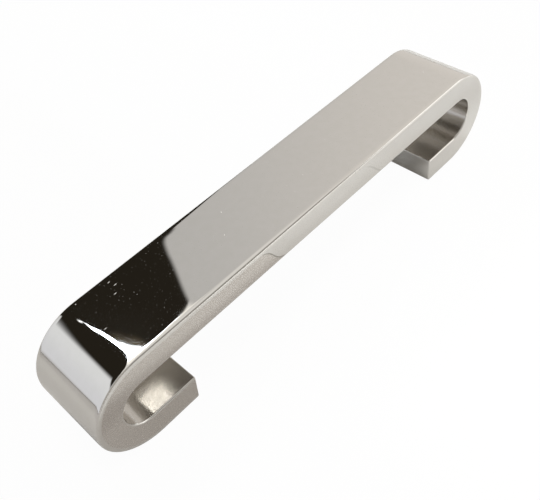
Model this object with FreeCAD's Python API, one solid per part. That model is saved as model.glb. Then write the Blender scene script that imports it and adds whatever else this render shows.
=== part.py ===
"""Arch pull handle for a cabinet door or a drawer front.

One piece of metal: a flat bar whose two ends curl under through a half turn into short feet that point
inwards. The bends are a little tighter below than above, and the feet's end faces lean back a little. The
flat undersides of the feet stand on the door, and a blind M4 hole in each takes a screw from behind. The
edges are rounded, as polishing leaves them.

Frame, in millimetres: the origin is on the mounting plane, midway between the two holes. X runs along
the bar, Y across it, and Z points away from the door.
"""

import FreeCAD, Part
import math
import os

# Driving dimensions
hole_spacing = 96.0
overall_length = 128.4
bar_width = 20.4
projection = 26.0
bar_thickness = 7.0
foot_thickness = 7.1
end_wall = 6.3
widest_height = 12.5
foot_length = 23.0
foot_end_lean = 0.6

# Edge rounding
outer_edge_radius = 0.5
inner_edge_radius = 0.4
foot_end_edge_radius = 0.3

# M4 blind tapped hole, drilled to the tap size
tap_drill_diameter = 3.3
drilled_depth = 4.8
drill_point_angle = 118.0
lead_in_diameter = 4.3

# Worked out from them
half_length = overall_length / 2
half_width = bar_width / 2
upper_bend_radius = projection - widest_height
upper_bend_x = half_length - upper_bend_radius
lower_bend_radius = widest_height
lower_bend_x = half_length - lower_bend_radius
inner_bend_radius = (projection - bar_thickness - foot_thickness) / 2
inner_bend_x = half_length - end_wall - inner_bend_radius
inner_bend_z = foot_thickness + inner_bend_radius
foot_end_x = half_length - foot_length
bar_underside_z = projection - bar_thickness
mid_bar_y = 0.0
tiny = 0.01


def point(x, z, y=mid_bar_y):
    return FreeCAD.Vector(x, y, z)


def line(start, end):
    return Part.LineSegment(start, end).toShape()


def arc(start, middle, end):
    return Part.Arc(start, middle, end).toShape()


def foot_end_x_at(z):
    """A foot's end face leans back from its top to the underside."""
    return foot_end_x + foot_end_lean * (1 - z / foot_thickness)


def side_outline():
    """Closed outline of the bar's side, in the plane of its near face."""
    y = -half_width
    right, left = 1, -1

    def quarter_bend(side, radius, flat_z):
        """A quarter turn from the flat at that height to the bend's widest point."""
        centre_x = half_length - radius
        rise = math.copysign(radius * math.sqrt(0.5), flat_z - widest_height)
        return arc(
            point(side * centre_x, flat_z, y),
            point(side * (centre_x + abs(rise)), widest_height + rise, y),
            point(side * half_length, widest_height, y),
        )

    def inner_bend(side):
        return arc(
            point(side * inner_bend_x, foot_thickness, y),
            point(side * (half_length - end_wall), inner_bend_z, y),
            point(side * inner_bend_x, bar_underside_z, y),
        )

    def foot_faces(side):
        underside = line(point(side * lower_bend_x, 0, y), point(side * foot_end_x_at(0), 0, y))
        end_face = line(
            point(side * foot_end_x_at(0), 0, y),
            point(side * foot_end_x, foot_thickness, y),
        )
        top = line(
            point(side * foot_end_x, foot_thickness, y),
            point(side * inner_bend_x, foot_thickness, y),
        )
        return [underside, end_face, top]

    grip_top = line(point(-upper_bend_x, projection, y), point(upper_bend_x, projection, y))
    grip_underside = line(
        point(inner_bend_x, bar_underside_z, y),
        point(-inner_bend_x, bar_underside_z, y),
    )
    edges = [grip_top, grip_underside]
    for side in (right, left):
        edges.append(quarter_bend(side, upper_bend_radius, projection))
        edges.append(quarter_bend(side, lower_bend_radius, 0))
        edges += [inner_bend(side), *foot_faces(side)]
    return Part.Wire(Part.__sortEdges__(edges))


def curled_bar():
    """The bar with sharp edges."""
    return Part.Face(side_outline()).extrude(FreeCAD.Vector(0, bar_width, 0))


def lies_in_a_side_face(edge):
    box = edge.BoundBox
    return box.YLength < tiny and abs(abs(box.Center.y) - half_width) < tiny


def lies_in_a_foot_end(edge):
    return all(abs(abs(end.X) - foot_end_x_at(end.Z)) < tiny for end in edge.Vertexes)


def is_outer_edge(edge):
    """An edge between a side face and the outer surface: the grip's top, the bends and the undersides."""
    box = edge.BoundBox
    on_top = box.ZMin > projection - tiny
    on_underside = box.ZMax < tiny
    round_the_bend = max(box.XMax, -box.XMin) > half_length - tiny
    return lies_in_a_side_face(edge) and (on_top or on_underside or round_the_bend)


def is_inner_edge(edge):
    return lies_in_a_side_face(edge) and not is_outer_edge(edge) and not lies_in_a_foot_end(edge)


def round_edges(solid, belongs, radius):
    rounded = solid.makeFillet(radius, [edge for edge in solid.Edges if belongs(edge)])
    return rounded.Solids[0]


def screw_hole(x):
    """What the drill and the lead-in take out of a foot, from its underside up."""
    radius = tap_drill_diameter / 2
    lead_in_radius = lead_in_diameter / 2
    lead_in_depth = lead_in_radius - radius
    point_height = radius / math.tan(math.radians(drill_point_angle / 2))
    outline = Part.makePolygon([
        point(x, 0),
        point(x + lead_in_radius, 0),
        point(x + radius, lead_in_depth),
        point(x + radius, drilled_depth),
        point(x, drilled_depth + point_height),
        point(x, 0),
    ])
    return Part.Face(outline).revolve(point(x, 0), FreeCAD.Vector(0, 0, 1), 360)


def handle():
    solid = curled_bar()
    solid = round_edges(solid, is_outer_edge, outer_edge_radius)
    solid = round_edges(solid, is_inner_edge, inner_edge_radius)
    solid = round_edges(solid, lies_in_a_foot_end, foot_end_edge_radius)
    for x in (-hole_spacing / 2, hole_spacing / 2):
        solid = solid.cut(screw_hole(x))
    return solid.Solids[0]


def main():
    os.makedirs("parts", exist_ok=True)
    body = handle()
    body.exportStep("parts/handle.step")
    box = body.optimalBoundingBox()
    print("handle", body.ShapeType, "valid", body.isValid(), "faces", len(body.Faces))
    print("size", round(box.XLength, 3), round(box.YLength, 3), round(box.ZLength, 3))
    print("volume mm3", round(body.Volume, 1))


main()
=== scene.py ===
"""Looks of the arch pull handle: one polished bar that curls under at both ends into inward feet."""

import math

import bpy
from mathutils import Matrix, Vector


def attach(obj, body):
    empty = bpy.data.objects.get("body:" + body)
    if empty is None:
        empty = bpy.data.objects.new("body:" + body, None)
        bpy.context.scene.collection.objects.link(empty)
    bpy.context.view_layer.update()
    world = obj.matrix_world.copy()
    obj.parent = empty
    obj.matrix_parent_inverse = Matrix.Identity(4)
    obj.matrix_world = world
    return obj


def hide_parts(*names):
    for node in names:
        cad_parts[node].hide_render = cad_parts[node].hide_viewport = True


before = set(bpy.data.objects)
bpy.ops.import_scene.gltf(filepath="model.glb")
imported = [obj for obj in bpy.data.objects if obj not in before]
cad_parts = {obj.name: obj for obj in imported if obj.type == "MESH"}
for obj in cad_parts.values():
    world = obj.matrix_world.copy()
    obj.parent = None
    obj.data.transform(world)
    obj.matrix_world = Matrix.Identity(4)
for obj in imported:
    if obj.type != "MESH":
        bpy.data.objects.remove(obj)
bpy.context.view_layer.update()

millimetre = 0.001

# Sizes of the handle in millimetres, as in the part's source
bar_width = 20.4
projection = 26.0
bar_thickness = 7.0
foot_thickness = 7.1
foot_end_x = 41.2
foot_end_lean = 0.6
widest_height = 12.5
upper_bend_x = 50.7
upper_bend_radius = 13.5
lower_bend_x = 51.7
lower_bend_radius = 12.5
inner_bend_x = 51.95
inner_bend_z = 13.05
inner_bend_radius = 5.95
inner_edge_radius = 0.4
foot_end_edge_radius = 0.3

# Polishing leaves an outer edge with a tight round and a wide, very shallow roll on each side of it
tight_radius = 0.48
roll_angle = math.radians(8)
roll_width = 0.7
roll_cuts = 4

# Threaded hole in each foot
hole_x = 48.0
tap_radius = 1.65
thread_radius = 2.0
thread_pitch = 0.7
groove_steepness = 2.6
crest_share = 0.25
lead_in_radius = 2.15
lead_in_depth = 0.5
drilled_depth = 4.8
drill_point_angle = 118
drill_point_height = tap_radius / math.tan(math.radians(drill_point_angle / 2))

# How finely the surface is divided, and the square that is left free round a hole
bend_cuts = 90
grip_cuts = 24
edge_cuts = 10
end_edge_cuts = 5
hole_patch_half = 3.2
hole_patch_cuts = 12
hole_ring_cuts = 4 * hole_patch_cuts
thread_cuts_per_turn = 8
weld_steps_per_millimetre = 1000
tiny = 0.001

POLISHED, SATIN_SIDE, SATIN_INSIDE, TAPPED = range(4)


def between(low, high, cuts):
    """Evenly spaced values from low to high, both included."""
    return [low + (high - low) * i / cuts for i in range(cuts + 1)]


class Skin:
    """A closed mesh put together from patches, with its own normal at each corner of each face."""

    def __init__(self):
        self.points = []
        self.index_of = {}
        self.faces = []
        self.normals = []
        self.finishes = []

    def vertex(self, point):
        """The index of a point in millimetres, which all faces that meet there share."""
        key = tuple(round(c * weld_steps_per_millimetre) for c in point)
        if key not in self.index_of:
            self.index_of[key] = len(self.points)
            self.points.append(Vector(point) * millimetre)
        return self.index_of[key]

    def face(self, corners, finish):
        """A face through (point, normal) pairs, in order round it, turned to the side they point to."""
        kept = []
        for point, normal in corners:
            index = self.vertex(point)
            if index not in [k[0] for k in kept]:
                kept.append((index, Vector(normal).normalized()))
        if len(kept) < 3:
            return
        facing = Vector((0, 0, 0))
        first = self.points[kept[0][0]]
        for (a, _), (b, _) in zip(kept[1:], kept[2:]):
            facing += (self.points[a] - first).cross(self.points[b] - first)
        if facing.dot(sum((n for _, n in kept), Vector())) < 0:
            kept.reverse()
        self.faces.append([index for index, _ in kept])
        self.normals += [normal for _, normal in kept]
        self.finishes.append(finish)

    def strip(self, one, other, finishes):
        """Faces between two closed rows of (point, normal) pairs; a cell whose finish is None is left out."""
        # Cell j lies between each row's points j and j + 1
        for j, finish in enumerate(finishes):
            k = (j + 1) % len(finishes)
            if finish is not None:
                self.face([one[j], one[k], other[k], other[j]], finish)

    def sleeve(self, rows, finish):
        """Faces of one finish between each closed row and the next."""
        for one, other in zip(rows, rows[1:]):
            self.strip(one, other, [finish] * len(one))

    def mesh(self, name):
        mesh = bpy.data.meshes.new(name)
        mesh.from_pydata(self.points, [], self.faces)
        mesh.polygons.foreach_set("material_index", self.finishes)
        mesh.polygons.foreach_set("use_smooth", [True] * len(self.faces))
        mesh.normals_split_custom_set(self.normals)
        return mesh


# Each cut across the bar is held as the outer surface's point and outward direction, then the inner one's,
# all in the XZ plane
def foot_cut(side, share):
    outer_x = foot_end_x + foot_end_edge_radius
    inner_x = outer_x + (inner_bend_x - outer_x) * share
    outer_x += (lower_bend_x - outer_x) * share
    return (side * outer_x, 0.0), (0, -1), (side * inner_x, foot_thickness), (0, 1)


def bend_cut(side, turn):
    out = (side * math.sin(turn), -math.cos(turn))
    in_lower_half = turn < math.pi / 2
    centre_x = lower_bend_x if in_lower_half else upper_bend_x
    radius = lower_bend_radius if in_lower_half else upper_bend_radius
    outer = (side * centre_x + radius * out[0], widest_height + radius * out[1])
    inner = (side * inner_bend_x + inner_bend_radius * out[0], inner_bend_z + inner_bend_radius * out[1])
    return outer, out, inner, (-out[0], -out[1])


def grip_cut(share):
    outer = (upper_bend_x * share, projection)
    inner = (inner_bend_x * share, projection - bar_thickness)
    return outer, (0, 1), inner, (0, -1)


def foot_shares():
    """Shares of the foot's flat at which it is cut, so that a square is left free for the hole."""
    start = foot_end_x + foot_end_edge_radius
    cuts = [start] + between(hole_x - hole_patch_half, hole_x + hole_patch_half, hole_patch_cuts)
    return [(x - start) / (lower_bend_x - start) for x in cuts]


def cuts_along_bar():
    feet = foot_shares()
    turns = between(0, math.pi, bend_cuts)
    cuts = [foot_cut(-1, share) for share in feet[1:]]
    cuts += [bend_cut(-1, turn) for turn in turns]
    cuts += [grip_cut(share) for share in between(-1, 1, grip_cuts)[1:-1]]
    cuts += [bend_cut(1, turn) for turn in reversed(turns)]
    cuts += [foot_cut(1, share) for share in reversed(feet[1:])]
    return cuts


def rows_across(half):
    """Places across a flat of that half width, with those of the square for a hole among them."""
    middle = between(-hole_patch_half, hole_patch_half, hole_patch_cuts)
    return [-half, -(half + hole_patch_half) / 2] + middle + [(half + hole_patch_half) / 2, half]


def outer_edge_profile():
    """The outer edge from the flat to the side, as (inset from the side, drop from the flat, turn)."""
    upright = math.pi / 2
    turns = between(0, roll_angle, roll_cuts)
    turns += between(roll_angle, upright - roll_angle, edge_cuts)[1:]
    turns += between(upright - roll_angle, upright, roll_cuts)[1:]
    across, drop, places = 0.0, 0.0, [(0.0, 0.0)]
    for one, other in zip(turns, turns[1:]):
        middle = (one + other) / 2
        in_a_roll = middle < roll_angle or middle > upright - roll_angle
        length = roll_width / roll_cuts if in_a_roll else tight_radius * (other - one)
        across += length * math.cos(middle)
        drop += length * math.sin(middle)
        places.append((across, drop))
    return [(across - reach, drop, turn) for (reach, drop), turn in zip(places, turns)]


def round_edge_profile(radius):
    turns = between(0, math.pi / 2, edge_cuts)
    return [(radius - radius * math.sin(turn), radius - radius * math.cos(turn), turn) for turn in turns]


outer_edge = outer_edge_profile()
inner_edge = round_edge_profile(inner_edge_radius)


def rim(cut):
    """The closed line round the bar at one cut, as (point, normal, finish of the cell that follows)."""
    outer, out, inner, inn = cut
    half = bar_width / 2
    outer_rows = rows_across(half - outer_edge[0][0])
    inner_rows = rows_across(half - inner_edge[0][0])
    line = []

    def flat(base, way, y, finish):
        line.append(((base[0], y, base[1]), (way[0], 0, way[1]), finish))

    def edge(base, way, side, profile):
        for inset, drop, turn in profile:
            point = (base[0] - way[0] * drop, side * (half - inset), base[1] - way[1] * drop)
            normal = (way[0] * math.cos(turn), side * math.sin(turn), way[1] * math.cos(turn))
            line.append((point, normal, POLISHED))

    def side_face_follows():
        line[-1] = (*line[-1][:2], SATIN_SIDE)

    for y in outer_rows[:-1]:
        flat(outer, out, y, POLISHED)
    edge(outer, out, 1, outer_edge)
    side_face_follows()
    edge(inner, inn, 1, inner_edge[::-1][:-1])
    for y in reversed(inner_rows[1:]):
        flat(inner, inn, y, SATIN_INSIDE)
    edge(inner, inn, -1, inner_edge)
    side_face_follows()
    edge(outer, out, -1, outer_edge[::-1][:-1])
    return line


def end_face_direction(side):
    return Vector((-side * foot_thickness, 0, -foot_end_lean)).normalized()


def lean_back(ring, side):
    """The foot's end leans back from its top to its underside."""
    leaned = []
    for point, normal, finish in ring:
        back = foot_end_lean * (1 - point[2] / foot_thickness)
        leaned.append((Vector(point) + Vector((side * back, 0, 0)), normal, finish))
    return leaned


def foot_end_rims(side):
    """The rims that round the foot's end over, from its flat sides to its end face."""
    towards = Vector((-side, 0, 0))
    rims = []
    for turn in between(0, math.pi / 2, end_edge_cuts):
        inset = foot_end_edge_radius * (1 - math.cos(turn))
        reach = foot_end_edge_radius * math.sin(turn)
        ring = []
        for point, normal, finish in rim(foot_cut(side, 0)):
            moved = Vector(point) - Vector(normal) * inset + towards * reach
            turned = Vector(normal) * math.cos(turn) + end_face_direction(side) * math.sin(turn)
            ring.append((moved, turned, finish if turn == 0 else SATIN_SIDE))
        rims.append(lean_back(ring, side))
    return rims


def over_hole(one, other, j):
    """True if the cell after point j lies in the square that is left free for a foot's hole."""
    inside = hole_patch_half + tiny
    for ring in (one, other):
        for point, _, _ in (ring[j], ring[(j + 1) % len(ring)]):
            on_underside = point[2] < tiny
            if not (on_underside and abs(abs(point[0]) - hole_x) < inside and abs(point[1]) < inside):
                return False
    return True


def thread_depth(angle, z):
    """How far the thread's groove cuts into the hole's wall."""
    across = (z / thread_pitch - angle / (2 * math.pi)) % 1
    groove = max(0.0, min(1.0, (0.5 - abs(across - 0.5)) * groove_steepness - crest_share))
    run_in = min(1.0, max(0.0, (z - lead_in_depth) / thread_pitch))
    run_out = min(1.0, max(0.0, (drilled_depth - z) / thread_pitch))
    return (thread_radius - tap_radius) * groove * run_in * run_out


def thread_slope(angle, z):
    step = 0.01
    return (thread_depth(angle, z + step) - thread_depth(angle, z - step)) / (2 * step)


downwards = (0, 0, -1)


def hole_patch_edge():
    """Places round the square that is left free for a hole, from its first corner on."""
    half = hole_patch_half
    steps = between(-half, half, hole_patch_cuts)[:-1]
    square = [(x, -half) for x in steps] + [(half, y) for y in steps]
    return square + [(-x, half) for x in steps] + [(-half, -y) for y in steps]


def hole_ring(centre, z, radius_of, normal_of):
    """A closed row round a hole's axis. radius_of and normal_of give its radius and normal at an angle."""
    first_corner = -135
    row = []
    for k in range(hole_ring_cuts):
        angle = math.radians(first_corner + 360 * k / hole_ring_cuts)
        radius = radius_of(angle)
        point = (centre + radius * math.cos(angle), radius * math.sin(angle), z)
        row.append((point, normal_of(angle)))
    return row


def inwards(angle, rise):
    """The direction from that angle towards the hole's axis, with that rise."""
    return (-math.cos(angle), -math.sin(angle), rise)


def flat_ring(centre, radius):
    return hole_ring(centre, 0.0, lambda angle: radius, lambda angle: downwards)


def cone_ring(centre, z, radius, rise):
    return hole_ring(centre, z, lambda angle: radius, lambda angle: inwards(angle, rise))


def thread_ring(centre, z):
    return hole_ring(
        centre,
        z,
        lambda angle: tap_radius + thread_depth(angle, z),
        lambda angle: inwards(angle, thread_slope(angle, z)),
    )


def add_hole(skin, side):
    """The square round the hole, the lead-in, the threaded wall and the drill's point."""
    centre = side * hole_x
    square = [((centre + x, y, 0.0), downwards) for x, y in hole_patch_edge()]
    halfway = flat_ring(centre, (lead_in_radius + hole_patch_half) / 2)
    skin.sleeve([square, halfway, flat_ring(centre, lead_in_radius)], POLISHED)

    wide_end = cone_ring(centre, 0.0, lead_in_radius, rise=-1)
    narrow_end = cone_ring(centre, lead_in_depth, tap_radius, rise=-1)
    skin.sleeve([wide_end, narrow_end], TAPPED)

    turns = (drilled_depth - lead_in_depth) / thread_pitch
    heights = between(lead_in_depth, drilled_depth, round(turns * thread_cuts_per_turn))
    skin.sleeve([thread_ring(centre, z) for z in heights], TAPPED)

    rise = -tap_radius / drill_point_height
    shoulder = cone_ring(centre, drilled_depth, tap_radius, rise)
    tip = cone_ring(centre, drilled_depth + drill_point_height, 0.0, rise)
    skin.sleeve([shoulder, tip], TAPPED)


def handle_mesh():
    skin = Skin()
    left_end, right_end = foot_end_rims(-1), foot_end_rims(1)
    rims = left_end[::-1] + [rim(cut) for cut in cuts_along_bar()] + right_end
    for one, other in zip(rims, rims[1:]):
        finishes = [
            None if over_hole(one, other, j) else max(one[j][2], other[j][2])
            for j in range(len(one))
        ]
        bare_one = [corner[:2] for corner in one]
        bare_other = [corner[:2] for corner in other]
        skin.strip(bare_one, bare_other, finishes)
    for side, ring in ((-1, rims[0]), (1, rims[-1])):
        skin.face([(point, end_face_direction(side)) for point, _, _ in ring], SATIN_SIDE)
        add_hole(skin, side)
    return skin.mesh("handle_body")


class Graph:
    """Short names for the few kinds of node that the materials and the world are made of."""

    def __init__(self, tree):
        self.tree = tree

    def node(self, kind, inputs=(), **settings):
        made = self.tree.nodes.new(kind)
        for name, value in settings.items():
            setattr(made, name, value)
        for key, value in dict(inputs).items():
            self.put(value, made.inputs[key])
        return made

    def put(self, value, socket):
        """Link value to socket if it is a socket too, and set it there if it is a number or a colour."""
        if isinstance(value, bpy.types.NodeSocket):
            self.tree.links.new(value, socket)
        elif isinstance(value, tuple) and len(value) == 3 and socket.type == "RGBA":
            socket.default_value = (*value, 1)
        else:
            socket.default_value = value

    def math(self, operation, *values):
        return self.node("ShaderNodeMath", dict(enumerate(values)), operation=operation).outputs[0]

    def times(self, first, *others):
        product = first
        for factor in others:
            product = self.math("MULTIPLY", product, factor)
        return product

    def ease(self, value, start, end):
        """0 before start and 1 after end, smoothly; either may be a socket."""
        inputs = {"Value": value, "From Min": start, "From Max": end}
        return self.node("ShaderNodeMapRange", inputs, interpolation_type="SMOOTHSTEP").outputs[0]

    def within(self, value, one_side, other_side):
        """1 between two soft edges and 0 outside; each is a pair of the value where it is 0 and is 1."""
        return self.times(self.ease(value, *one_side), self.ease(value, *other_side))

    def above(self, value, edge, softness):
        """1 where value is over edge and 0 where it is under, with a soft step of that width."""
        gap = self.math("SUBTRACT", value, edge)
        return self.ease(gap, -softness / 2, softness / 2)

    def below(self, value, edge, softness):
        return self.math("SUBTRACT", 1.0, self.above(value, edge, softness))

    def place(self, x=0.0, y=0.0, z=0.0):
        return self.node("ShaderNodeCombineXYZ", {0: x, 1: y, 2: z}).outputs[0]

    def parts(self, vector):
        """The three parts of a vector or a colour."""
        return self.node("ShaderNodeSeparateXYZ", {0: vector}).outputs

    def noise(self, place, scale, detail, roughness=0.5):
        inputs = {"Vector": place, "Scale": scale, "Detail": detail, "Roughness": roughness}
        return self.node("ShaderNodeTexNoise", inputs).outputs[0]

    def mix(self, share, low, high):
        made = self.node("ShaderNodeMix", data_type="RGBA")
        for index, value in ((0, share), (6, low), (7, high)):
            self.put(value, made.inputs[index])
        return made.outputs[2]

    def mix_shaders(self, share, low, high):
        inputs = {0: share, 1: low.outputs[0], 2: high.outputs[0]}
        return self.node("ShaderNodeMixShader", inputs).outputs[0]

    def line_through(self, value, points):
        """A smooth line through (x, y) points, read at value."""
        xs = [x for x, _ in points]
        ys = [y for _, y in points]
        low_x, high_x, low_y, high_y = min(xs), max(xs), min(ys), max(ys)
        share = self.node("ShaderNodeMapRange", {"Value": value, "From Min": low_x, "From Max": high_x})
        curve = self.node("ShaderNodeFloatCurve", {"Value": share.outputs[0]})
        handles = curve.mapping.curves[0].points
        placed = [((x - low_x) / (high_x - low_x), (y - low_y) / (high_y - low_y)) for x, y in points]
        handles[0].location, handles[1].location = placed[0], placed[-1]
        for place in placed[1:-1]:
            handles.new(*place)
        for handle in handles:
            handle.handle_type = "AUTO_CLAMPED"
        curve.mapping.update()
        inputs = {"Value": curve.outputs[0], "To Min": low_y, "To Max": high_y}
        return self.node("ShaderNodeMapRange", inputs).outputs[0]


nickel = (0.72, 0.70, 0.66)

# Share of a drawn mark's half width that is solid, before it fades out
solid_share = 0.3

# The lint that catches the light on the left bend, as place along the bar, place across it and half length
lint_places = (
    (-44.0, 5.0, 0.5),
    (-42.6, 6.8, 0.5),
    (-43.1, 8.3, 0.4),
    (-50.7, 9.1, 0.2),
    (-50.4, -0.2, 0.45),
)
lint_half_width = 0.115


def metal(name):
    """A material whose shader is bare nickel; returns it, its shader and its graph."""
    material = bpy.data.materials.new(name)
    material.use_nodes = True
    shader = material.node_tree.nodes["Principled BSDF"]
    shader.inputs["Base Color"].default_value = (*nickel, 1)
    shader.inputs["Metallic"].default_value = 1
    return material, shader, Graph(material.node_tree)


def place_on_handle(g):
    """Place on the handle in millimetres: x, y and z."""
    place = g.node("ShaderNodeTexCoord").outputs["Object"]
    return [g.times(part, 1 / millimetre) for part in g.parts(place)]


def length_along(g, x, z):
    """Length along the bar's surface from its middle, round the bends."""
    past_bend = g.math("MAXIMUM", g.math("SUBTRACT", g.math("ABSOLUTE", x), upper_bend_x), 0.0)
    turn = g.math("ARCTAN2", past_bend, g.math("SUBTRACT", z, widest_height))
    flat = g.math("MINIMUM", g.math("ABSOLUTE", x), upper_bend_x)
    length = g.math("ADD", flat, g.times(turn, upper_bend_radius))
    return g.times(g.math("SIGN", x), length)


def flecks(g, along, across, cell, stretch, lean, share, size):
    """Small marks in cells of that many millimetres, of which only a share holds one."""
    soft_rim, solid_middle = 0.05, 0.4
    cos, sin = math.cos(lean), math.sin(lean)
    u = g.math("ADD", g.times(along, cos / stretch), g.times(across, sin / stretch))
    v = g.math("SUBTRACT", g.times(across, cos), g.times(along, sin))
    inputs = {"Vector": g.place(u, v), "Scale": 1 / cell}
    cells = g.node("ShaderNodeTexVoronoi", inputs, voronoi_dimensions="2D")
    chance, strength, _ = g.parts(cells.outputs["Color"])
    distance = g.times(cells.outputs["Distance"], cell)
    radius = g.times(g.math("POWER", strength, 2.0), size)
    spot = g.ease(distance, g.math("ADD", radius, soft_rim), g.times(radius, solid_middle))
    return g.times(spot, g.math("LESS_THAN", chance, share))


def one_fleck(g, along, across, place_along, place_across, half_length, half_width):
    """One mark at a place of its own, lying along the bar."""
    u = g.times(g.math("SUBTRACT", along, place_along), half_width / half_length)
    v = g.math("SUBTRACT", across, place_across)
    distance = g.math("SQRT", g.math("ADD", g.times(u, u), g.times(v, v)))
    return g.ease(distance, half_width, half_width * solid_share)


def marks_on_polish(g, place, along, y):
    """Where dust, lint and hairlines lie, from 0 to 1: in patches, and not far round the bends."""
    dust_strength, hair_strength, least_dusty = 0.42, 0.35, 0.25
    patch_edge, end_of_marks = (0.38, 0.62), (54.0, 51.0)
    dusty = g.ease(g.noise(place, scale=0.11, detail=2.0), *patch_edge)
    dust = flecks(g, along, y, cell=0.85, stretch=1.0, lean=0.3, share=0.38, size=0.08)
    lint = flecks(g, along, y, cell=3.0, stretch=2.4, lean=0.9, share=0.22, size=0.1)
    hairs = flecks(g, along, y, cell=3.1, stretch=4.5, lean=-0.7, share=0.3, size=0.06)
    marks = g.math("MAXIMUM", g.times(dust, dust_strength), lint)
    marks = g.math("MAXIMUM", marks, g.times(hairs, hair_strength))
    marks = g.times(marks, g.math("ADD", g.times(dusty, 1 - least_dusty), least_dusty))
    marks = g.times(marks, g.ease(g.math("ABSOLUTE", along), *end_of_marks))
    for place_along, place_across, half_length in lint_places:
        lint = one_fleck(g, along, y, place_along, place_across, half_length, lint_half_width)
        marks = g.math("MAXIMUM", marks, lint)
    return marks


def build_polished():
    """Mirror polish with a thin haze, and dust, lint and short hairline scratches on it."""
    clear, hazy, dust_colour = (0.728, 0.709, 0.677), (0.713, 0.697, 0.66), (0.62, 0.60, 0.56)
    haze_edge, least_roughness, haze_roughness = (0.3, 0.7), 0.016, 0.012
    material, shader, g = metal("polished")
    x, y, z = place_on_handle(g)
    along = length_along(g, x, z)
    place = g.place(along, y)
    haze = g.noise(place, scale=0.5, detail=4.0)
    g.put(g.mix(g.ease(haze, *haze_edge), clear, hazy), shader.inputs["Base Color"])
    roughness = g.math("ADD", least_roughness, g.times(haze, haze_roughness))
    g.put(roughness, shader.inputs["Roughness"])
    specks = g.node("ShaderNodeBsdfDiffuse", {"Color": dust_colour})
    both = g.mix_shaders(marks_on_polish(g, place, along, y), shader, specks)
    g.put(both, material.node_tree.nodes["Material Output"].inputs[0])
    return material


def painted_wavy_reflection(g, x, z, start, end, sway, width):
    """A thin wavy line of painted reflection on the side, from start to end, both (x, z): a shadow's edge on
    the floor as the side would mirror it; also where the side lies left of it.
    """
    fade_in, left_edge = (-1.0, 4.0), (0.2, -0.2)
    reach_x, reach_z = end[0] - start[0], end[1] - start[1]
    reach = math.hypot(reach_x, reach_z)
    cos, sin = reach_x / reach, reach_z / reach
    from_x, from_z = g.math("SUBTRACT", x, start[0]), g.math("SUBTRACT", z, start[1])
    along = g.math("ADD", g.times(from_x, cos), g.times(from_z, sin))
    off = g.math("SUBTRACT", g.times(from_z, cos), g.times(from_x, sin))
    wave = g.math("SINE", g.times(along, 2 * math.pi / reach))
    gap = g.math("SUBTRACT", off, g.times(wave, sway))
    line = g.ease(g.math("ABSOLUTE", gap), width, width * solid_share)
    line = g.times(line, g.within(along, fade_in, (reach + 0.8, reach - 0.4)))
    return line, g.ease(gap, *left_edge)


def satin_side_colour(g, x, y, z, place, grain):
    """The side's colour, and how dull it is from 0 to 1: duller left of a wavy line near its middle and
    darker there with painted shade; the wavy lines are painted reflections, and painted shade darkens the
    side towards the bar's lower edge.
    """
    light, clouded, dull_and_shaded_colour = (0.77, 0.757, 0.728), (0.725, 0.709, 0.678), (0.665, 0.625, 0.58)
    grain_colour, painted_shade_colour, painted_line_colour = (0.60, 0.58, 0.55), (0.55, 0.515, 0.48), (0.28, 0.27, 0.24)
    dull_strength, grain_strength, painted_line_strength, faint_strength = 0.85, 0.5, 0.8, 0.35
    near_side, grain_edge, least_shade = (-10.0, -10.15), (0.35, 0.75), 0.2
    upper_shade_edge, lower_shade_edge = (22.8, 19.6), (12.0, 18.0)
    clouds = g.noise(place, scale=0.22, detail=3.0)
    # Painted reflection: two wavy lines stand for shadow edges on the floor as the side would mirror them
    line, dull = painted_wavy_reflection(g, x, z, start=(-19.07, 25.11), end=(-11.52, 19.18), sway=0.55, width=0.22)
    faint, _ = painted_wavy_reflection(g, x, z, start=(14.7, 24.5), end=(22.1, 18.6), sway=0.3, width=0.3)
    on_near_side = g.ease(y, *near_side)
    dull = g.times(dull, on_near_side)
    marks = g.times(g.math("MAXIMUM", line, g.times(faint, faint_strength)), on_near_side)
    colour = g.mix(clouds, light, clouded)
    # Painted shade: left of the first wavy line the side is darker in colour as well as duller, standing in
    # for the shaded floor it would mirror
    colour = g.mix(g.times(dull, dull_strength), colour, dull_and_shaded_colour)
    colour = g.mix(g.times(g.ease(grain, *grain_edge), grain_strength), colour, grain_colour)
    # Painted shade: the side darkens towards the bar's lower edge, most of all where it is dull
    low_on_bar = g.within(z, upper_shade_edge, lower_shade_edge)
    shade = g.times(low_on_bar, g.math("ADD", g.times(dull, 1 - least_shade), least_shade))
    colour = g.mix(shade, colour, painted_shade_colour)
    # Painted reflection: the wavy lines are drawn dark into the side's colour
    return g.mix(g.times(marks, painted_line_strength), colour, painted_line_colour), dull


def build_satin_side():
    """Fine satin grain, with two thin wavy lines of painted reflection on the near side, of which the right
    one is faint, and painted shade left of the first line and low on the bar.
    """
    least_roughness, dull_roughness, grain_roughness = 0.14, 0.08, 0.1
    bump_strength, bump_height = 0.08, 0.00002
    material, shader, g = metal("satin_side")
    x, y, z = place_on_handle(g)
    place = g.place(x, z)
    grain = g.noise(place, scale=3.2, detail=3.0, roughness=0.7)
    colour, dull = satin_side_colour(g, x, y, z, place, grain)
    g.put(colour, shader.inputs["Base Color"])
    roughness = g.math("ADD", g.times(dull, dull_roughness), g.times(grain, grain_roughness))
    g.put(g.math("ADD", roughness, least_roughness), shader.inputs["Roughness"])
    inputs = {"Height": grain, "Strength": bump_strength, "Distance": bump_height}
    g.put(g.node("ShaderNodeBump", inputs).outputs[0], shader.inputs["Normal"])
    return material


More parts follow.
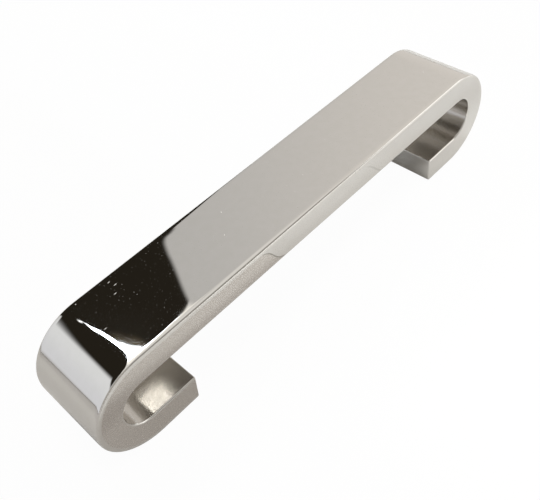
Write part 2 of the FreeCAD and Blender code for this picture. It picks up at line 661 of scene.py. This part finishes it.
def build_satin_inside():
    """Satin inside of the bar and the bends, drawn along the strip and a little duller on the right."""
    light, dark = (0.62, 0.593, 0.552), (0.53, 0.503, 0.463)
    least_roughness, drawn_roughness, right_roughness = 0.115, 0.12, 0.05
    squeeze, towards_right = 0.15, (0.0, 30.0)
    material, shader, g = metal("satin_inside")
    x, y, z = place_on_handle(g)
    place = g.place(g.times(length_along(g, x, z), squeeze), y, z)
    drawn = g.noise(place, scale=2.4, detail=3.0)
    g.put(g.mix(drawn, light, dark), shader.inputs["Base Color"])
    duller_right = g.times(g.ease(x, *towards_right), right_roughness)
    roughness = g.math("ADD", duller_right, g.times(drawn, drawn_roughness))
    g.put(g.math("ADD", least_roughness, roughness), shader.inputs["Roughness"])
    return material


def build_tapped():
    """Bare cut metal in the threads, darker and rougher, with fine rings from the tap."""
    light, dark = (0.62, 0.60, 0.56), (0.50, 0.48, 0.44)
    least_roughness, ring_roughness = 0.3, 0.2
    material, shader, g = metal("tapped")
    z = place_on_handle(g)[2]
    rings = g.noise(g.place(z=z), scale=9.0, detail=2.0)
    g.put(g.mix(rings, light, dark), shader.inputs["Base Color"])
    roughness = g.math("ADD", least_roughness, g.times(rings, ring_roughness))
    g.put(roughness, shader.inputs["Roughness"])
    return material


def build_handle():
    mesh = handle_mesh()
    piece = bpy.data.objects.new("handle_body", mesh)
    bpy.context.scene.collection.objects.link(piece)
    for build in (build_polished, build_satin_side, build_satin_inside, build_tapped):
        mesh.materials.append(build())
    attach(piece, "root")
    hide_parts("handle")


# The photograph's camera, solved from the handle's edges: its lens and sensor in millimetres, its place in
# metres, and the directions of the picture's right, of its down and of the view
camera_lens = 45.75
camera_sensor = 36
camera_place = (-0.074826, -0.081170, 0.128961)
picture_right = (0.68425, -0.72161, -0.10524)
picture_down = (-0.59480, -0.46877, -0.65304)
view_ahead = (0.42191, 0.50944, -0.74997)


def build_camera():
    data = bpy.data.cameras.new("camera")
    data.sensor_width = camera_sensor
    data.lens = camera_lens
    data.clip_start = 0.01
    camera = bpy.data.objects.new("camera", data)
    axes = Matrix((Vector(picture_right), -Vector(picture_down), -Vector(view_ahead)))
    camera.matrix_world = Matrix.Translation(camera_place) @ axes.transposed().to_4x4()
    bpy.context.scene.collection.objects.link(camera)
    bpy.context.scene.camera = camera


# The studio that the polished metal mirrors. A direction is its azimuth, from +Y towards +X, and its
# elevation, both in degrees. Each soft edge is a pair: where it begins and where it is full.
warm_wall = (0.61, 0.60, 0.592)
far_wall = (0.84, 0.80, 0.76)
cool_wall = (0.92, 0.94, 0.97)
cool_wall_low = (0.83, 0.845, 0.895)
skirting = (0.46, 0.445, 0.435)
viewer_side = (0.46, 0.44, 0.41)
beside_viewer = (0.36, 0.345, 0.32)
overhead = (0.9, 0.88, 0.85)
pale_ceiling = (0.89, 0.87, 0.84)
softbox = (1.62, 1.61, 1.59)
lamp = (17.2, 18.6, 20.4)
lamp_end = (3.0, 3.1, 3.2)
round_lamp = (1.3, 1.27, 1.2)
dark_shape = (0.021, 0.0175, 0.0125)
brown_edge = (0.12, 0.095, 0.06)
white = (1.0, 1.0, 1.0)

# The skirting's top falls to the left of a corner at this azimuth, by this much for each degree
skirting_corner = -50.7
skirting_slope = 0.39

# Edges of the lamp and of the two dark shapes in front of it, as elevation by azimuth
lamp_bottom = ((0, 46), (18, 48), (26, 50.9), (28, 51.6), (32, 53.5))
dark_top = (
    (-7, 50.2), (-5.3, 50.35), (-3.5, 50.55), (-1.2, 50.85), (-0.2, 51.05), (1.3, 51.4), (4.4, 51.75),
    (6.2, 51.8), (10.9, 51.85), (13.3, 51.95), (15.9, 52.0), (17.5, 52.2), (18.1, 52.5), (18.7, 52.85),
    (19.65, 53.2), (20.9, 54.2), (22.2, 56.0), (23.6, 57.2), (25.1, 57.2), (25.6, 55.8), (25.85, 52.4),
    (27.4, 51.55), (28.2, 51.0), (32, 49.5),
)
upper_dark_bottom = (
    (-9, 49.0), (-6.8, 50.1), (-5.5, 50.5), (-3.5, 50.75), (-1.6, 50.85), (-0.9, 50.95), (-0.4, 51.5),
    (0.4, 51.95), (2.2, 52.15), (5.2, 52.5), (7, 52.85), (8.6, 53.2), (9.7, 53.5), (10.9, 53.9),
)
upper_dark_top = (
    (-60, 70), (-18.9, 66.8), (-4.5, 60.5), (-1, 57.6), (2.8, 55.8), (5.5, 55.35), (8.2, 55.1),
    (9.7, 54.8), (10.9, 54.2),
)
dark_bottom = (
    (-45, 41), (-38.7, 40.7), (-36, 40.4), (-33.7, 40.5), (-28.5, 41.6), (-24, 42.6), (-20, 43),
    (-12, 30), (0, 3), (28, -1),
)

# The lower dark shape's right edge, as azimuth by elevation
dark_right = (
    (-5, 29), (44.5, 29), (45.3, 28.5), (46.1, 27.3), (47.5, 27.45), (48.6, 27.58), (50.0, 27.7),
    (51.5, 28.05),
)


def walls(g, azimuth, elevation):
    """The room round the handle: warm ahead, cool on the left, greyer behind the viewer, pale above."""
    far_edge, cool_edge, cool_low_edge, skirting_edge = (24.0, 72.0), (-2.0, -30.0), (38.0, 6.0), (5.0, -3.0)
    viewer_side_azimuth, viewer_side_edge = 195.0, (75.0, 40.0)
    beside_viewer_azimuth, beside_viewer_edge = 160.0, (30.0, 20.0)
    overhead_edge, ceiling_edge = (56.0, 66.0), (51.0, 57.0)
    ceiling_left, ceiling_right = (30.0, 45.0), (130.0, 110.0)
    colour = g.mix(g.ease(azimuth, *far_edge), warm_wall, far_wall)
    cool = g.mix(g.ease(elevation, *cool_low_edge), cool_wall, cool_wall_low)
    past_corner = g.math("MINIMUM", g.math("SUBTRACT", azimuth, skirting_corner), 0.0)
    over_skirting = g.math("SUBTRACT", elevation, g.times(past_corner, skirting_slope))
    cool = g.mix(g.ease(over_skirting, *skirting_edge), cool, skirting)
    colour = g.mix(g.ease(azimuth, *cool_edge), colour, cool)
    whole_turn = g.math("FLOORED_MODULO", azimuth, 360.0)
    from_viewer_side = g.math("ABSOLUTE", g.math("SUBTRACT", whole_turn, viewer_side_azimuth))
    colour = g.mix(g.ease(from_viewer_side, *viewer_side_edge), colour, viewer_side)
    from_beside_viewer = g.math("ABSOLUTE", g.math("SUBTRACT", azimuth, beside_viewer_azimuth))
    colour = g.mix(g.ease(from_beside_viewer, *beside_viewer_edge), colour, beside_viewer)
    colour = g.mix(g.ease(elevation, *overhead_edge), colour, overhead)
    in_ceiling = g.times(g.ease(elevation, *ceiling_edge), g.ease(azimuth, *ceiling_left))
    return g.mix(g.times(in_ceiling, g.ease(azimuth, *ceiling_right)), colour, pale_ceiling)


def lights(g, azimuth, elevation, colour):
    """The softbox, and the lamp ahead with its glow on the wall round it."""
    box_left, box_right, box_bottom, box_top = (114.0, 124.0), (144.5, 138.5), (-2.0, 8.0), (36.0, 28.0)
    lamp_left, lamp_right, lamp_top, sill_softness = (-8.0, -3.0), (26.8, 24.8), (62.0, 58.0), 1.2
    glow_left, glow_right, lamp_end_edge = (-14.0, -8.0), (37.0, 26.0), (-0.5, 1.5)
    across_box = g.within(azimuth, box_left, box_right)
    in_box = g.times(across_box, g.within(elevation, box_bottom, box_top))
    colour = g.mix(in_box, colour, softbox)
    over_sill = g.above(elevation, g.line_through(azimuth, lamp_bottom), sill_softness)
    beside_lamp = g.times(over_sill, g.within(azimuth, glow_right, glow_left))
    colour = g.mix(beside_lamp, colour, round_lamp)
    under_lintel = g.ease(elevation, *lamp_top)
    in_lamp = g.times(over_sill, under_lintel, g.within(azimuth, lamp_right, lamp_left))
    return g.mix(in_lamp, colour, g.mix(g.ease(azimuth, *lamp_end_edge), lamp_end, lamp))


def dark_shapes(g, azimuth, elevation, colour):
    """The two dark shapes in front of the lamp, with a brown band along the lower one's raised part."""
    sharp, right_softness, bottom_softness = 0.3, 0.8, 6.0
    band_left, band_right, band_depth, band_softness = (13.0, 20.0), (26.0, 25.0), 0.7, 1.3
    upper_right, left_limit = (11.1, 10.7), (-100.0, -80.0)
    top_edge = g.line_through(azimuth, dark_top)
    band = g.above(elevation, g.math("SUBTRACT", top_edge, band_depth), band_softness)
    band = g.times(band, g.within(azimuth, band_left, band_right))
    dark = g.mix(band, dark_shape, brown_edge)
    over_bottom = g.above(elevation, g.line_through(azimuth, dark_bottom), bottom_softness)
    under_top = g.below(elevation, top_edge, sharp)
    left_of_edge = g.below(azimuth, g.line_through(elevation, dark_right), right_softness)
    lower = g.times(under_top, left_of_edge, over_bottom)
    over_gap = g.above(elevation, g.line_through(azimuth, upper_dark_bottom), sharp)
    under_ceiling = g.below(elevation, g.line_through(azimuth, upper_dark_top), sharp)
    upper = g.times(over_gap, under_ceiling, over_bottom, g.ease(azimuth, *upper_right))
    in_front = g.times(g.ease(azimuth, *left_limit), g.math("MAXIMUM", lower, upper))
    return g.mix(in_front, colour, dark)


def build_world():
    """The studio to every reflection, and plain white to the camera."""
    world = bpy.data.worlds.new("studio")
    bpy.context.scene.world = world
    world.use_nodes = True
    g = Graph(world.node_tree)
    x, y, z = g.parts(g.node("ShaderNodeTexCoord").outputs["Generated"])
    azimuth = g.math("DEGREES", g.math("ARCTAN2", x, y))
    elevation = g.math("DEGREES", g.math("ARCSINE", z))
    colour = walls(g, azimuth, elevation)
    colour = lights(g, azimuth, elevation, colour)
    colour = dark_shapes(g, azimuth, elevation, colour)
    to_camera = g.node("ShaderNodeLightPath").outputs["Is Camera Ray"]
    g.put(g.mix(to_camera, colour, white), world.node_tree.nodes["Background"].inputs["Color"])


# The sheet of paper, its tone painted with light and shade, and the table past its left edge. Places on them
# are in metres.
sheet_in_painted_shade = (0.43, 0.415, 0.40)
sheet_in_painted_light = (0.725, 0.72, 0.705)
painted_shade_behind_bar = (0.50, 0.48, 0.455)
painted_light_near_viewer = (0.90, 0.89, 0.87)
table = (0.46, 0.445, 0.435)
half_floor = 3.0
share_white_to_camera = 0.97

# How much painted light the sheet has, from 0 to 1, at places from left to right; where it is low, the sheet
# is in painted shade
painted_light_on_sheet = (
    (-0.14, 0.28), (-0.115, 0.15), (-0.07, 0.0), (-0.045, 0.12), (-0.03, 0.52), (-0.01, 0.66),
    (0.008, 0.71), (0.0175, 0.73), (0.03, 0.925), (0.06, 0.9), (0.08, 0.78), (0.1, 0.8), (0.12, 0.95),
)

# A point on the sheet's left edge, and the way off the sheet across it
sheet_edge_x = -0.163
sheet_edge_y = 0.068
sheet_edge_turn = math.radians(213)


def floor_colour(g, x, y):
    """The sheet with painted light and shade: painted shade on the left and behind the bar, painted light
    near the viewer; and the table past its edge.
    """
    slant_y, slant_reach, slant_steepness = -0.02, 0.01, 3.0
    behind_y, behind_left, behind_right = (0.004, 0.014), (-0.075, -0.06), (0.0, -0.015)
    near_y, near_left, table_edge = (-0.03, -0.05), (-0.04, -0.005), (-0.016, 0.012)
    # Lines of equal painted light run along Y, but slant to the right just in front of the bar
    slant = g.math("MAXIMUM", g.math("SUBTRACT", y, slant_y), -slant_reach)
    slant = g.math("MINIMUM", slant, slant_reach)
    towards_right = g.math("SUBTRACT", x, g.times(slant, slant_steepness))
    colour = g.mix(g.line_through(towards_right, painted_light_on_sheet), sheet_in_painted_shade, sheet_in_painted_light)
    # Painted shade on the sheet behind the bar's left part
    behind_bar = g.times(g.ease(y, *behind_y), g.within(x, behind_left, behind_right))
    colour = g.mix(behind_bar, colour, painted_shade_behind_bar)
    # Painted light on the sheet near the viewer
    near_viewer = g.times(g.ease(y, *near_y), g.ease(x, *near_left))
    colour = g.mix(near_viewer, colour, painted_light_near_viewer)
    across_edge = g.math(
        "ADD",
        g.times(g.math("SUBTRACT", x, sheet_edge_x), math.cos(sheet_edge_turn)),
        g.times(g.math("SUBTRACT", y, sheet_edge_y), math.sin(sheet_edge_turn)),
    )
    return g.mix(g.ease(across_edge, *table_edge), colour, table)


def build_floor():
    """Nearly white to the camera; to everything else, the paper with painted light and shade on it, and the
    table, lit by the lamps.
    """
    mesh = bpy.data.meshes.new("floor")
    signs = ((-1, -1), (1, -1), (1, 1), (-1, 1))
    mesh.from_pydata([(x * half_floor, y * half_floor, 0) for x, y in signs], [], [(0, 1, 2, 3)])
    floor = bpy.data.objects.new("floor", mesh)
    bpy.context.scene.collection.objects.link(floor)
    material = bpy.data.materials.new("paper")
    material.use_nodes = True
    mesh.materials.append(material)
    g = Graph(material.node_tree)
    material.node_tree.nodes.remove(material.node_tree.nodes["Principled BSDF"])
    x, y, _ = g.parts(g.node("ShaderNodeTexCoord").outputs["Object"])
    paper = g.node("ShaderNodeBsdfDiffuse", {"Color": floor_colour(g, x, y)})
    bright = g.node("ShaderNodeEmission", {"Color": white})
    to_camera = g.node("ShaderNodeLightPath").outputs["Is Camera Ray"]
    both = g.mix_shaders(g.times(to_camera, share_white_to_camera), paper, bright)
    g.put(both, material.node_tree.nodes["Material Output"].inputs[0])


def build_overhead_lamp():
    """A large soft spot high over the near side, that isn't mirrored itself."""
    place = Vector((0.4, -0.5, 3.0))
    data = bpy.data.lights.new("overhead", "SPOT")
    data.shadow_soft_size = 0.6
    data.spot_size = math.radians(40)
    data.spot_blend = 1.0
    data.energy = 231.0
    spot = bpy.data.objects.new("overhead", data)
    spot.location = place
    spot.rotation_euler = (-place).to_track_quat("-Z", "Y").to_euler()
    spot.visible_glossy = False
    bpy.context.scene.collection.objects.link(spot)


build_handle()
build_camera()
build_world()
build_floor()
build_overhead_lamp()
bpy.context.scene.view_settings.view_transform = "Standard"
